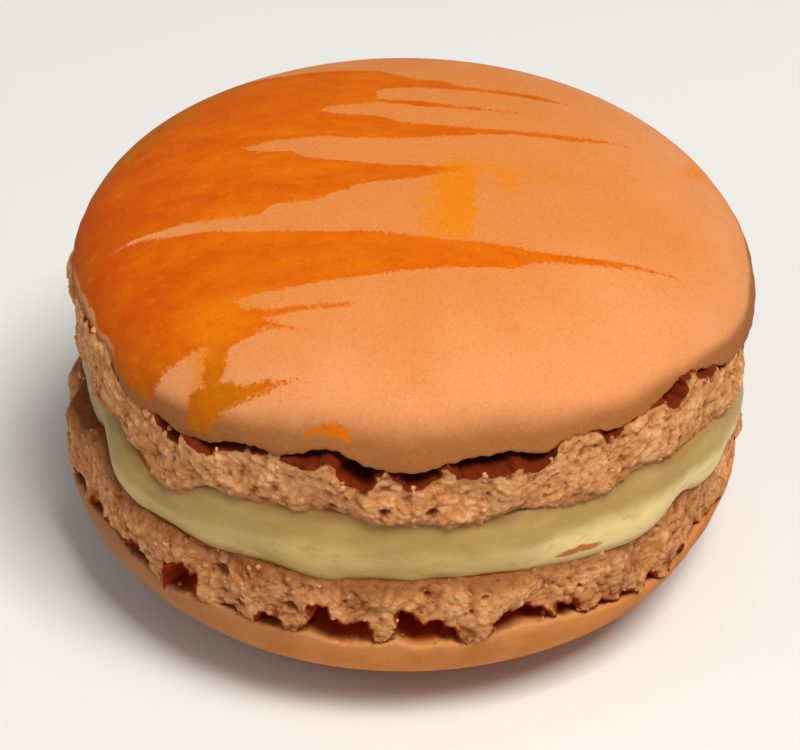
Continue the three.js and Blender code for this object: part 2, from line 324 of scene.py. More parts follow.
def open_bubbles(shell, azimuth, height, spot):
    """Depth of the open bubbles: each is a bowl with an uneven edge, a little wider than it is tall. The
    radius of those that aren't named grows from small to large with the fourth power of a draw."""
    draw = drawer(shell["seed"] + 11)
    low, high = height.min() + SMALL_BUBBLES["edge_margin"], height.max() - HIDDEN_TOP
    small, large = SMALL_BUBBLES["radius"]
    found = list(shell["bubbles"])
    for _ in range(SMALL_BUBBLES["count"]):
        found.append((draw(0, 360), draw(low, high), small + (large - small) * draw() ** 4))
    uneven = noise_sum(BUBBLE_NOISE, spot, shell["seed"])
    deep = np.zeros(height.shape)
    for at, up, size in found:
        across = np.radians(apart(azimuth[0], at)) * shell["foot_radius"]
        near = np.nonzero(np.abs(across) < size * 2)[0]
        reach = np.hypot(across[near] / BUBBLE_WIDENING, height[:, near] - up) / size + uneven[:, near]
        bowl = BUBBLE_DEPTH * size * (1 - step_up(reach, 0.3, 1.0))
        deep[:, near] = np.maximum(deep[:, near], bowl)
    return deep


def foot_surface(shell):
    """The foot as rings from inside the skin, down its side, round its edge and back to the axis. Its side is
    the foot's radius with its lumps, drawn in at the rim and curled in at the edge, less the hollows and open
    bubbles, with crumb all over."""
    seed = shell["seed"]
    azimuth = np.arange(FOOT_CORNERS) * 360 / FOOT_CORNERS
    azimuth = np.broadcast_to(azimuth, (FOOT_ROWS, FOOT_CORNERS))
    edge_spot = placed(shell, azimuth, shell["foot_radius"], 0)
    skirt = skirt_line(shell, azimuth) + noise_sum(SKIRT_NOISE, edge_spot, seed)
    rim = rim_line(shell, azimuth)
    share = np.linspace(0, 1, FOOT_ROWS)[:, None]
    height = (rim + HIDDEN_TOP) - (rim + HIDDEN_TOP + skirt) * share
    broad = BROAD_SHARE * lumps(BROAD_LUMPS, seed + 1, azimuth, height)
    small = SMALL_SHARE * lumps(SMALL_LUMPS, seed + 2, azimuth, height)
    full = shell["foot_radius"] + rise(shell["foot_waves"], azimuth) + broad + small - FOOT_INSET
    drawn_in = CREASE * step_up(height, rim - CREASE_HEIGHT, rim + 0.1)
    drawn_in = drawn_in + HIDDEN_STEP * step_up(height, rim, rim + 0.5)
    down = np.clip(1 - (height + skirt) / (rim + skirt), 0, 1)
    curl = FOOT_CURL * (np.clip(down - CURL_FROM, 0, 1) / (1 - CURL_FROM)) ** 2
    spot = placed(shell, azimuth, full, height)
    mouth = mouths(shell, azimuth, height, spot)
    open_share = step_up(mouth, 0.0, HOLLOW_LIP)
    hollow = open_share * (HOLLOW_DEPTH + noise_sum(HOLLOW_NOISE, spot, seed))
    bubbles = open_bubbles(shell, azimuth, height, spot)
    crumb = crumbs_of_two_sizes(spot, seed + 20) + noise_sum(SOFT_CRUMB, spot, seed)
    radius = full - drawn_in - FOOT_LEAN * down**2 - curl - hollow - bubbles
    radius = radius + np.minimum(crumb, CRUMB_TALLEST) * (1 - open_share)
    # The mouths' field is widened by one corner each way, so that no pale crust is stretched down a wall.
    wide = np.maximum(mouth, np.maximum(np.roll(mouth, 1, 1), np.roll(mouth, -1, 1)))
    wide[1:-1] = np.maximum(wide[1:-1], np.maximum(wide[2:], wide[:-2]))
    around = azimuth[:1]
    inwards = np.linspace(0, 1, EDGE_ROWS + 1)[1:, None]
    edge_radius = radius[-1:] + (SKIRT_INSIDE - radius[-1:]) * inwards
    edge_crumb = crumbs_of_two_sizes(placed(shell, around, edge_radius, -skirt[:1]), seed + 23)
    edge_height = edge_crumb * np.sin(np.pi * inwards) - skirt[:1]
    rings = np.concatenate([
        placed(shell, around, HIDDEN_RADIUS, rim[:1] + HIDDEN_TOP),
        placed(shell, azimuth, radius, height),
        placed(shell, around, edge_radius, edge_height),
        placed(shell, around, SKIRT_INSIDE, 0),
        placed(shell, around, CORE_RADIUS, 0),
    ])
    fields = {"mouth": wide, "bubble": bubbles / BUBBLE_SHADE, "down": down, "crumb": crumb / CRUMB_SHADE}
    for name, field in fields.items():
        fields[name] = np.concatenate([field[:1], field] + [field[-1:]] * (EDGE_ROWS + 2))
    fields["crumb"][1 + FOOT_ROWS:-2] = edge_crumb / CRUMB_SHADE
    return rings, fields


def ledge_points(shell):
    """Points just inside the rim of the dome, where the foot meets the skin."""
    azimuth = np.broadcast_to(np.linspace(0, 360, LEDGE_SPOTS), (len(LEDGE_INWARDS), LEDGE_SPOTS))
    across = np.cos(rim_angle(shell, azimuth)) ** (2 / shell["dome_power"])
    edge = (shell["skin_radius"] + rise(shell["skin_waves"], azimuth) * across) * across
    return placed(shell, azimuth, edge - np.array(LEDGE_INWARDS)[:, None], rim_line(shell, azimuth) - 0.1)


def ball():
    """A ball of radius 1: points in rows and corners, then its top and bottom, and its faces."""
    rows = np.arange(1, BALL_ROWS + 1) * np.pi / (BALL_ROWS + 1)
    corners = np.arange(BALL_CORNERS) * 2 * np.pi / BALL_CORNERS
    tilt, turn = np.meshgrid(rows, corners, indexing="ij")
    side = np.stack([np.sin(tilt) * np.cos(turn), np.sin(tilt) * np.sin(turn), np.cos(tilt)], -1)
    points = np.concatenate([side.reshape(-1, 3), [[0, 0, 1], [0, 0, -1]]])
    here = np.arange(BALL_CORNERS)
    beside = (here + 1) % BALL_CORNERS
    first = BALL_CORNERS * np.arange(BALL_ROWS - 1)[:, None]
    below = first + BALL_CORNERS
    quads = np.stack([first + here, below + here, below + beside, first + beside], -1)
    top, last = BALL_ROWS * BALL_CORNERS, BALL_CORNERS * (BALL_ROWS - 1)
    caps = np.stack([[0 * here + top, here, beside], [0 * here + top + 1, last + beside, last + here]])
    return points, quads.reshape(-1, 4), caps.transpose(0, 2, 1).reshape(-1, 3)


def crumb_mesh(name, shell, surface):
    """Loose crumbs as small uneven balls, each half sunk in a point that a seeded draw picks from a surface
    or, on the lower shell, from the ledge where the foot meets the skin too."""
    small, large = LOOSE_CRUMBS["radius"]
    index = np.arange(LOOSE_CRUMBS["count"])
    draws = scattered(np.stack([index, 0 * index, 0 * index], -1), shell["seed"] + 50) * 0.5 + 0.5
    surface = surface.reshape(-1, 3)
    if shell["way"] < 0:
        surface = np.concatenate([surface, ledge_points(shell).reshape(-1, 3)])
    spots = surface[(draws[:, 0] * (len(surface) - 1)).astype(int)]
    sizes = small + (large - small) * draws[:, 1] ** 3
    outwards = spots * [1, 1, 0] / np.hypot(spots[:, 0], spots[:, 1])[:, None]
    spots = spots - outwards * sizes[:, None] * LOOSE_CRUMBS["sunk"]
    # Each ball reads its own part of the noise, so that no two crumbs are alike.
    shape, quads, caps = ball()
    uneven = 1 + LOOSE_CRUMBS["uneven"] * cloud(shape * 0.9 + spots[:, None] * 7, 1.0, shell["seed"] + 51)
    points = spots[:, None] + sizes[:, None, None] * shape * uneven[..., None]
    starts = (index * len(shape))[:, None, None]
    faces = (starts + quads).reshape(-1, 4).tolist() + (starts + caps).reshape(-1, 3).tolist()
    plain = 0.0 * index
    fields = {"mouth": plain - 1, "bubble": plain, "down": plain, "crumb": draws[:, 2] * 1.6 - 0.8}
    values = {field: np.repeat(value, len(shape)) for field, value in fields.items()}
    return smooth_piece(name, points.reshape(-1, 3) * MM, faces, values)


class Link:
    """One output of a node in a finish. Sums and products of it add their own Math nodes."""

    def __init__(self, finish, socket):
        self.finish, self.socket = finish, socket

    def maths(self, operation, first, second, clamp=False):
        settings = {"operation": operation, "use_clamp": clamp}
        return self.finish.node("ShaderNodeMath", settings, {0: first, 1: second})

    def __add__(self, other):
        return self.maths("ADD", self, other)

    def __sub__(self, other):
        return self.maths("SUBTRACT", self, other)

    def __mul__(self, other):
        return self.maths("MULTIPLY", self, other)

    def __rsub__(self, other):
        return self.maths("SUBTRACT", other, self)

    __radd__ = __add__
    __rmul__ = __mul__

    def capped(self):
        return self.maths("ADD", self, 0.0, clamp=True)

    def between(self, low, high):
        """0 below low, 1 above high, and a smooth step between."""
        settings = {"interpolation_type": "SMOOTHSTEP"}
        return self.finish.node("ShaderNodeMapRange", settings, {0: self, 1: low, 2: high})


class Finish:
    """A material. node() adds any node: first its settings, then the values or links of its sockets."""

    def __init__(self, name):
        self.material = bpy.data.materials.new(name)
        self.material.use_nodes = True
        self.tree = self.material.node_tree
        self.tree.nodes.clear()

    def node(self, kind, settings=None, sockets=None, output=0):
        made = self.tree.nodes.new(kind)
        for name, value in (settings or {}).items():
            setattr(made, name, value)
        for name, value in (sockets or {}).items():
            if isinstance(value, Link):
                self.tree.links.new(value.socket, made.inputs[name])
            else:
                made.inputs[name].default_value = value
        return Link(self, made.outputs[output])

    def field(self, name):
        return self.node("ShaderNodeAttribute", {"attribute_name": name}, output="Fac")

    def place(self, stretch=(1, 1, 1)):
        """The point on the object in millimetres, stretched along each axis."""
        coordinates = self.node("ShaderNodeTexCoord", output="Object")
        scale = tuple(share / MM for share in stretch)
        return self.node("ShaderNodeVectorMath", {"operation": "MULTIPLY"}, {0: coordinates, 1: scale})

    def across(self):
        """The millimetres to the right of the middle."""
        return self.node("ShaderNodeSeparateXYZ", None, {0: self.place()}, output="X")

    def noise(self, size, detail=3.0, stretch=(1, 1, 1), rough=0.55):
        """Soft noise from 0 to 1 with lumps of this size in millimetres."""
        sockets = {"Vector": self.place(stretch), "Scale": 1 / size, "Detail": detail, "Roughness": rough}
        return self.node("ShaderNodeTexNoise", sockets=sockets)

    def mix(self, share, first, second):
        return self.node("ShaderNodeMix", {"data_type": "RGBA"}, {0: share, 6: first, 7: second}, output=2)

    def bump(self, height, depth, strength):
        """A normal from a height of 0 to 1 that stands for this depth in millimetres."""
        sockets = {"Height": height, "Distance": depth * MM, "Strength": strength}
        return self.node("ShaderNodeBump", sockets=sockets)

    def surface(self, **sockets):
        """The Principled surface. A socket's name is written with underscores."""
        named = {name.replace("_", " "): value for name, value in sockets.items()}
        shader = self.node("ShaderNodeBsdfPrincipled", sockets=named)
        output = self.tree.nodes.new("ShaderNodeOutputMaterial")
        self.tree.links.new(shader.socket, output.inputs["Surface"])
        return self.material


def screen(red, green, blue):
    """A colour as a screen shows it, from 0 to 255, turned into linear light."""
    share = np.array([red, green, blue]) / 255
    linear = np.where(share > 0.04045, ((share + 0.055) / 1.055) ** 2.4, share / 12.92)
    return (*[float(value) for value in linear], 1.0)


# Painted shade: the colour that darkens the inside of an open bubble.
PIT_SHADE = screen(140, 74, 32)  # the inside of an open bubble


def foot_finish(name, crust, pale, brown_shade, hollow_shade, deep):
    """Baked foam of patchy tone with painted light: pale tips as painted highlights, browner creases as
    painted shade, and painted shade that browns its edge by the cream and the mouths of the hollows, darkens
    the bubbles and fills the hollows with red-brown. On loose crumbs the pale and brown vary at random.
    """
    finish = Finish(name)
    patch = finish.noise(2.4, 4)
    grain = finish.noise(0.26, 4, rough=0.75)
    crumb = finish.field("crumb") + (grain - 0.5) * 2.4
    down = finish.field("down") + (patch - 0.5) * 0.25
    colour = finish.mix(patch.between(0.35, 0.7), crust, finish.mix(0.4, crust, pale))
    # Painted highlight on the crumb's raised tips and painted shade in its creases; on loose crumbs the field
    # is random, so there they are plain tone.
    colour = finish.mix((crumb.between(0.0, 1.1) * 0.9).capped(), colour, pale)
    colour = finish.mix(((0 - crumb).between(0.1, 1.1) * 0.85).capped(), colour, brown_shade)
    # Painted shade: browner towards the foot's edge, where it meets the cream.
    colour = finish.mix((down.between(0.72, 1.0) * 0.7).capped(), colour, brown_shade)
    # Painted shade: the open bubbles are darker the deeper they go.
    colour = finish.mix((finish.field("bubble").between(0.1, 1.0) * 0.75).capped(), colour, PIT_SHADE)
    # Painted shade in the hollows: a dark red-brown from the mouth's edge inwards, with the deep colour
    # further in.
    mouth = finish.field("mouth") + (grain - 0.5) * 0.08
    hollow_shade = finish.mix(mouth.between(0.1, 0.6), hollow_shade, deep)
    # Painted shade: browner just round the mouths of the hollows.
    colour = finish.mix(mouth.between(-0.25, 0.0) * 0.5, colour, brown_shade)
    colour = finish.mix(mouth.between(-0.04, 0.03), colour, hollow_shade)
    height = finish.noise(0.16, 5, rough=0.75) * 0.8 + finish.noise(0.45, 4, rough=0.65) * 0.8
    normal = finish.bump(height, 0.13, 1.0)
    return finish.surface(Base_Color=colour, Roughness=0.8, Specular_IOR_Level=0.1, Normal=normal)


rings, fields = foot_surface(lower)
lower_foot = ring_mesh("lower_foot", lower["way"], rings, fields)
lower_crumbs = crumb_mesh("lower_crumbs", lower, rings[1 + HIDDEN_ROWS:1 + FOOT_ROWS])
# The lower foot's colours: crust, pale tips, painted shade in brown, the hollows' red-brown painted shade,
# and a brighter deep colour that lifts the hollows' own rendered shadow.
lower_crumb = foot_finish(
    "lower foot crumb", screen(190, 122, 68), screen(236, 174, 118), screen(132, 72, 32),
    screen(146, 46, 4), screen(190, 76, 10))
for piece in (lower_foot, lower_crumbs):
    piece.data.materials.append(lower_crumb)
    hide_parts("lower_shell")
    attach(piece, "root")

# Lower shell: the skin.
# The smooth skin dried before baking. It is the dome that the biscuit rests on, thin and torn at its rim
# where the foot lifted away from it, and it is baked browner than the upper one.
SKIN_CORNERS = 900
DOME_ROWS = 88
# Rings behind the torn edge: how far in, how far up, and how much of the hollow's painted shade they have.
LIP_RINGS = [(0.04, -0.1, 0), (0.16, -0.17, 0.1), (0.35, -0.15, 0.3), (0.7, -0.03, 0.6), (1.6, 0.12, 1),
             (3.6, 0.25, 1)]
SKIN_NOISE = [(2.4, 0.07, 40), (0.8, 0.03, 41)]
SKIN_INSET = 0.06  # leaves room for the noise inside the solid's outline
EVEN_RIM_SHARE = 0.4  # how much of the rim's waves the shading near the rim follows
RIM_SHADE_FALL = 0.0046  # how fast the shade's height falls towards the sides, with the square of x


def skin_surface(shell):
    """The skin as rings from the middle of the dome to the rim, round the torn lip and back to the axis. The
    dome is a superellipse, leaning a little, cut flat at the shell's height and cut off at the rim line."""
    azimuth = np.arange(SKIN_CORNERS) * 360 / SKIN_CORNERS
    azimuth = np.broadcast_to(azimuth, (DOME_ROWS, SKIN_CORNERS))
    base, tall, power = shell["dome_base"], shell["dome_height"], shell["dome_power"]
    rim = rim_line(shell, azimuth)
    lean = shell["dome_lean"] * np.sin(np.radians(azimuth))
    at_rim = rim_angle(shell, azimuth)
    share = np.arange(1, DOME_ROWS + 1)[:, None] / DOME_ROWS
    angle = np.pi / 2 + (at_rim - np.pi / 2) * share
    across = np.cos(angle).clip(0, 1) ** (2 / power)
    radius = (shell["skin_radius"] + rise(shell["skin_waves"], azimuth) * across) * across
    height = base + tall * np.sin(angle) ** (2 / power) - lean * across
    height = np.where(share >= 1, rim, np.minimum(shell["height"], height))
    near_rim = step_up(across, 0.9, 1.0)
    uneven = noise_sum(SKIN_NOISE, placed(shell, azimuth, radius, height), shell["seed"])
    radius = radius + near_rim * (uneven - SKIN_INSET)
    around, edge, line = azimuth[:1], radius[-1:], rim[-1:]
    rings = [placed(shell, azimuth, radius, height)]
    even_rim = shell["rim_height"] + EVEN_RIM_SHARE * rise(shell["rim_waves"], azimuth)
    above, inside = [height - rim], [np.zeros(height.shape)]
    for inwards, upwards, dark in LIP_RINGS:
        rings.append(placed(shell, around, edge - inwards, line + upwards))
        above.append(0 * line)
        inside.append(0 * line + dark)
    rings.append(placed(shell, around, CORE_RADIUS, shell["rim_height"] + 0.3))
    above.append(0 * line)
    inside.append(0 * line + 1)
    fields = {"above_rim": np.concatenate(above), "inside": np.concatenate(inside)}
    fields["up"] = fields["above_rim"] + (rim - even_rim)[:1]
    return np.concatenate(rings), fields


def rim_shade(finish, low, high):
    """1 at the rim and 0 above a height, between two heights over the rim that fall towards the two sides."""
    across = finish.across()
    above = finish.field("up") * (across * across * RIM_SHADE_FALL + 1)
    return 1 - (above + (finish.noise(2.5, 3) - 0.5) * 0.8).between(low, high)


def skin_finish(finish, colour, dark, pale, hollow_shade, ledge):
    """The skin's own look over its base colour: a fine dry grain with dark and pale specks, and the hollow's
    painted shade from a given share of the way in under the lip."""
    fine = finish.noise(0.2, 4, rough=0.8)
    colour = finish.mix((fine.between(0.5, 0.72) * 0.4).capped(), colour, dark)
    colour = finish.mix(((1 - fine).between(0.52, 0.75) * 0.25).capped(), colour, pale)
    # Painted shade: under the lip the skin takes the hollow's dark colour.
    colour = finish.mix(finish.field("inside").between(ledge, ledge + 0.3), colour, hollow_shade)
    height = fine * 0.5 + finish.noise(0.12, 3) * 0.3 + finish.noise(1.4, 3) * 1.0
    normal = finish.bump(height, 0.08, 0.7)
    return finish.surface(Base_Color=colour, Roughness=0.75, Specular_IOR_Level=0.07, Normal=normal)


rings, fields = skin_surface(lower)
lower_skin = ring_mesh("lower_skin", lower["way"], rings, fields)
baked = Finish("lower skin")
patchy = baked.mix(baked.noise(2.8, 4).between(0.3, 0.75), screen(210, 134, 70), screen(190, 116, 56))
patchy = baked.mix(rim_shade(baked, 0.0, 0.9) * 0.8, patchy, screen(206, 140, 84))
# Painted shade: darker and greyer towards the left, the side away from the key light.
patchy = baked.mix((baked.across() * -1).between(2, 20) * 0.85, patchy, screen(158, 108, 72))
# The last two give the painted shade under the lip and how far in it begins.
lower_skin.data.materials.append(skin_finish(
    baked, patchy, screen(166, 98, 48), screen(224, 160, 104), screen(200, 86, 20), 0.55))
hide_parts("lower_shell")
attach(lower_skin, "root")

# Cream.
# Butter cream, piped on the lower shell and pressed out to the edge by the upper one. It stands a little
# proud on the right, lies back on the left, and has a streak of the food colour at the front.
CREAM_RADIUS = 21.35  # at its upper and lower edges
CREAM_WAVES = [(-76, 14, -0.9), (-45, 14, 0.3), (46, 24, 0.45), (70, 14, 0.2), (150, 30, -0.4),
               (215, 26, 0.3)]
CREAM_BULGE = 0.75
BULGE_POWER = 0.6  # under 1, so that the bulge is full and turns in sharply at the edges
CREAM_LUMPS = {"count": 7, "turns": (6, 20), "climb": (0, 0.9), "size": 0.12}
CREAM_LUMP_SHARE = 0.9
CREAM_INSET = 0.08  # leaves room for the noise inside the solid's outline
CREAM_STREAKS = [(0.8, 0.03, 1)]
STREAK_STRETCH = np.array([0.35, 0.35, 1])
CREAM_NOISE = [(2.2, 0.08, 3)]
MARK_NOISE = [(0.6, 0.12, 4)]
CREAM_SEED = 83
CREAM_CORNERS = 900
CREAM_ROWS = 56
CREAM_TUCK = 0.4  # how far the cream's edge reaches behind the two feet
CREAM_CORE = SKIRT_INSIDE - 0.8  # its radius where it fills the shells' shallow inner faces
CREAM_GAP = 0.02  # to each inner face
# Marks of food colour: azimuth, height above the lower shell, half width in degrees and half height.
CREAM_MARKS = [(28.6, 0.85, 4.4, 0.3), (26.5, 0.7, 2.4, 0.2), (12, 0.1, 9, 0.16)]

# The upper shell's sizes, in the same terms as the lower one's. The cream's top edge follows its foot.
upper = {
    "inner_face": 16.55,
    "way": 1,
    "height": 11.9,
    "off_centre": 0.4,
    "dome_base": 3.0,
    "dome_height": 8.92,
    "dome_power": 2.2,
    "dome_lean": 0.75,
    "skin_radius": 22.2,
    "skin_waves": [(150, 26, 0.2), (210, 20, -0.2)],
    "foot_radius": 22.25,
    "seed": 31,
    "rim_height": 4.25,
    "rim_waves": [(-75, 9, 0.75), (-61, 9, 0.6), (-52, 6.5, -1.3), (-39, 9, -1.1), (-13, 5, 0.6),
                  (-2, 7, -0.4), (12, 8, 0.45), (37, 6, -0.8), (42, 16, 0.85), (69, 8, -0.5), (74, 13, -1.2),
                  (120, 18, 0.4), (165, 22, -0.5), (215, 24, 0.5)],
    "foot_waves": [(-44, 10, 0.15), (95, 24, -0.75), (150, 26, 0.25), (210, 20, -0.2)],
    "least_skirt": 0.55,
    "skirt_waves": [(-46, 9.5, 2), (-60, 6, 0.3), (14, 10, 0.25), (41, 4, -0.4), (51, 5, 0.35), (66, 9, 1),
                    (120, 16, 0.5), (190, 20, 0.35), (235, 16, 0.4)],
    "hollows": [(-43, 2.4, 1.1), (-32, 6.5, 0.75), (-27, 2.6, 0.8), (-15.5, 6.5, 0.7), (-17, 3, 1),
                (-9, 4, 1.8), (0.5, 5, 1.2), (11, 6, 1.3), (15, 8, 0.7), (18.8, 3.6, 1), (33, 2, 0.7),
                (46, 2.8, 1.1), (54, 2, 0.7), (61, 2.4, 0.6)],
    "bubbles": [(-5, 0.75, 0.35), (2.5, 0.75, 0.35), (-8, 2.1, 0.2), (-26, 0.9, 0.22), (-22.5, 1.5, 0.16),
                (14.6, 3.2, 0.3), (23, 2.3, 0.16), (30, 3.3, 0.2), (44, 3.1, 0.25), (-38, 1.2, 0.25)],
}


def cream_surface():
    """The cream as rings from the middle of its top, round its bulging edge and back to the middle. The edge
    is a radius with broad waves, a sine bulge and soft lumps drawn out round the biscuit. A mark is 1 in its
    middle and 0 at its edge, an ellipse on the cream's side."""
    azimuth = np.arange(CREAM_CORNERS) * 360 / CREAM_CORNERS
    azimuth = np.broadcast_to(azimuth, (CREAM_ROWS, CREAM_CORNERS))
    top = upper["inner_face"] - skirt_line(upper, azimuth) + CREAM_TUCK
    bottom = lower["inner_face"] + skirt_line(lower, azimuth) - CREAM_TUCK
    share = np.linspace(0, 1, CREAM_ROWS)[:, None]
    height = top + (bottom - top) * share
    level = {"off_centre": 0, "inner_face": 0, "way": 1}
    bulge = CREAM_BULGE * np.sin(np.pi * share).clip(0, 1) ** BULGE_POWER
    lumpy = CREAM_LUMP_SHARE * lumps(CREAM_LUMPS, CREAM_SEED, azimuth, height)
    radius = CREAM_RADIUS + rise(CREAM_WAVES, azimuth) + bulge + lumpy - CREAM_INSET
    spot = placed(level, azimuth, radius, height)
    streaks = noise_sum(CREAM_STREAKS, spot * STREAK_STRETCH, CREAM_SEED)
    radius = radius + streaks + noise_sum(CREAM_NOISE, spot, CREAM_SEED)
    around = azimuth[:1]
    highest, lowest = upper["inner_face"] - CREAM_GAP, lower["inner_face"] + CREAM_GAP
    rings = np.concatenate([
        placed(level, around, CREAM_CORE / 2, highest),
        placed(level, around, CREAM_CORE, highest),
        placed(level, around, CREAM_CORE, top[:1]),
        placed(level, azimuth, radius, height),
        placed(level, around, CREAM_CORE, bottom[:1]),
        placed(level, around, CREAM_CORE, lowest),
        placed(level, around, CREAM_CORE / 2, lowest),
    ])
    mark = np.full(height.shape, -1.0)
    for at, up, half_width, half_height in CREAM_MARKS:
        level_up = lower["inner_face"] + up + noise_sum(MARK_NOISE, spot, CREAM_SEED)
        reach = np.hypot(apart(azimuth, at) / half_width, (height - level_up) / half_height)
        mark = np.maximum(mark, 1 - reach)
    fields = {"up": np.broadcast_to(1 - share, height.shape), "mark": mark}
    for name, field in fields.items():
        fields[name] = np.concatenate([field[:1]] * 3 + [field] + [field[-1:]] * 3)
    return rings, fields


def cream_finish():
    """Khaki-yellow cream with soft streaks drawn round the biscuit, smudges, orange marks and a little shine;
    painted light makes it brighter low down and on the right, and painted shade darkens it high up under the
    upper foot, at its upper and lower edges where it meets the feet, and at the far left."""
    finish = Finish("butter cream")
    up = finish.field("up")
    streak = finish.noise(1.2, 4, stretch=(0.3, 0.3, 1.0))
    patch = finish.noise(3.0, 3)
    fine = finish.noise(0.25, 3, rough=0.7)
    # Painted light and shade: a lit copy low down and a shaded copy high up, under the upper foot.
    shaded = finish.mix(streak.between(0.3, 0.75), screen(166, 134, 70), screen(178, 148, 83))
    lit_cream = finish.mix(streak.between(0.3, 0.75), screen(188, 157, 88), screen(204, 175, 104))
    across = finish.across()
    # Painted light: brighter towards the right, the side of the key light.
    lit_cream = finish.mix(across.between(2, 11) * 0.9, lit_cream, screen(232, 204, 134))
    colour = finish.mix((up + (patch - 0.5) * 0.3).between(0.4, 0.7), lit_cream, shaded)
    smudge = finish.noise(0.8, 4, stretch=(0.5, 0.5, 1.0), rough=0.65)
    colour = finish.mix((smudge.between(0.52, 0.75) * 0.45).capped(), colour, screen(150, 122, 60))
    # Painted shade: browner at the upper and lower edges, where the cream meets the feet.
    edge = (1 - up.between(0.06, 0.22)) + up.between(0.82, 0.94)
    colour = finish.mix((edge * 0.5).capped(), colour, screen(156, 108, 60))
    colour = finish.mix((fine.between(0.55, 0.75) * 0.25).capped(), colour, screen(160, 130, 70))
    # Painted shade: darker at the far left, away from the key light.
    colour = finish.mix((across * -1).between(17, 20.5) * 0.55, colour, screen(132, 104, 54))
    mark = finish.field("mark") + (fine - 0.5) * 0.8
    colour = finish.mix((mark.between(-0.1, 0.3) * 0.95).capped(), colour, screen(180, 92, 0))
    normal = finish.bump(streak * 0.5 + fine * 0.25 + patch * 0.8, 0.12, 0.6)
    return finish.surface(Base_Color=colour, Roughness=0.5, Specular_IOR_Level=0.3, Normal=normal)


rings, fields = cream_surface()
cream = ring_mesh("cream_filling", 1, rings, fields)
cream.data.materials.append(cream_finish())
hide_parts("cream")
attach(cream, "root")

# Upper shell: the foot.
# The same open foam as the lower foot, the other way up. It is thicker and hangs lower at the front left.
rings, fields = foot_surface(upper)
upper_foot = ring_mesh("upper_foot", upper["way"], rings, fields)
upper_crumbs = crumb_mesh("upper_crumbs", upper, rings[1 + HIDDEN_ROWS:1 + FOOT_ROWS])
# The upper foot's colours: crust, pale tips, painted shade in brown, and the hollows' red-brown painted
# shade, darkest deep inside.
upper_crumb = foot_finish(
    "upper foot crumb", screen(208, 137, 80), screen(248, 190, 134), screen(146, 84, 42),
    screen(120, 42, 4), screen(94, 20, 0))
for piece in (upper_foot, upper_crumbs):
    piece.data.materials.append(upper_crumb)
    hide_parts("upper_shell")
    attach(piece, "root")

# Upper shell: the skin.
# A smooth peach dome. Orange food colour was brushed over its left side once it was baked: it is thick at
# the left edge and ends in long tapering bristle strokes towards the right.

# Each stroke has stations along x, with the y of its lower and its upper edge, in millimetres on the dome's
# plan.
STROKES = [
    [(-23, 4, 12), (-14, 6, 15.5), (-8, 6, 14), (-5.2, 7, 13.9), (-2.1, 7.4, 13.4), (-1.9, 9.8, 13.2),
     (0.2, 10, 11.8), (2.5, 9.95, 11.1), (4, 9.85, 10.5), (9.3, 9.7, 10.3), (11, 10, 10)],
    [(-8, 6, 9), (-5.6, 6.2, 9), (-5.4, 7.3, 9), (-2, 7.4, 8), (1.1, 7, 7.7), (6.6, 6.85, 7.05),
     (7.4, 6.9, 6.9)],
    [(-23, 1, 7), (-10.6, 2.3, 8), (-8, 3, 7), (-5.6, 3.1, 6.3), (-4.3, 2.6, 5.9), (-2, 2.6, 5.5),
     (0.2, 2.6, 4.5), (3, 3.05, 4.3), (6.6, 3.7, 4.35), (10.2, 4.1, 4.8), (14, 5.2, 5.2)],
    [(-23, -7, 3), (-17.5, -5.05, 2.5), (-10.8, -5.5, 2.4), (-10.1, -5.5, 1.7), (-9.2, -5.5, 1.6),
     (-8.8, -4.6, 1.5), (-7.5, -4.5, 1.3), (-6.1, -4.4, 0.2), (-4.3, -3.6, -0.2), (-2.5, -2.6, -0.45),
     (0.2, -2.3, -0.6), (2, -1.5, -0.75), (3.8, -0.8, -0.8)],
    [(-23, -12, -5), (-17.5, -14, -5.4), (-14.3, -14, -6), (-11.8, -12.6, -6.5), (-9.3, -12.3, -7),
     (-5.7, -12, -7.4), (-2, -11.4, -7.8), (2, -10.9, -8.2), (5.7, -10.5, -8.5), (8.4, -9.5, -8.6),
     (12, -8.95, -8.45), (15.2, -8.2, -7.95), (16.6, -7.7, -7.7)],
    [(-20, -13, -6), (-17.5, -14.5, -8), (-15.9, -15.2, -9), (-12.3, -15.2, -11), (-12, -16, -12),
     (-10.9, -16.1, -12.6), (-10, -15.3, -13.3), (-9.2, -14.9, -13.6), (-8.4, -14.8, -14.3),
     (-6.4, -15.2, -15.1)],
    [(-11, -14.15, -13.2), (-8, -14.05, -13.5), (-3.2, -13.95, -13.7)],
    [(-12.3, -17.8, -15.4), (-11.7, -18, -15.4), (-11.1, -17.4, -15.4)],
    [(-13.4, -17.6, -16.8), (-12.4, -18.4, -17), (-10.5, -18.5, -17.4), (-9.6, -18.5, -17.9),
     (-8.5, -18.4, -18.05), (-6.6, -18.25, -18.15)],
    [(-6.6, -21.1, -20.5), (-6.2, -21.4, -20.35), (-4.4, -21.4, -20.35), (-3.9, -21.3, -20.6)],
]
# Patches where a thin coat shows yellow, where the coat gets an ochre painted shade on steep walls and at the
# grazing edge, and where the skin glints, in the same way.
THIN_COAT = [
    [(0.6, -8.4, -4.5), (1.2, -8.6, -2.2), (2.2, -8.6, 0.2), (3, -8.6, 0.5), (4, -8.4, 0.4), (4.3, -1.6, 0.3),
     (5.5, -1.6, 0.1), (5.8, -3.1, -0.1), (6.6, -3, -0.3), (7, -1.2, -0.5), (9.2, -0.8, -0.6)],
    [(17.6, 3.6, 4.4), (18.4, 4, 6.6), (19.3, 4.8, 7.6), (19.9, 5.5, 7)],
    [(-13.5, -15, -12), (-12.6, -17.5, -12), (-10.8, -16, -12.2), (-9.6, -14, -12.6)],
]
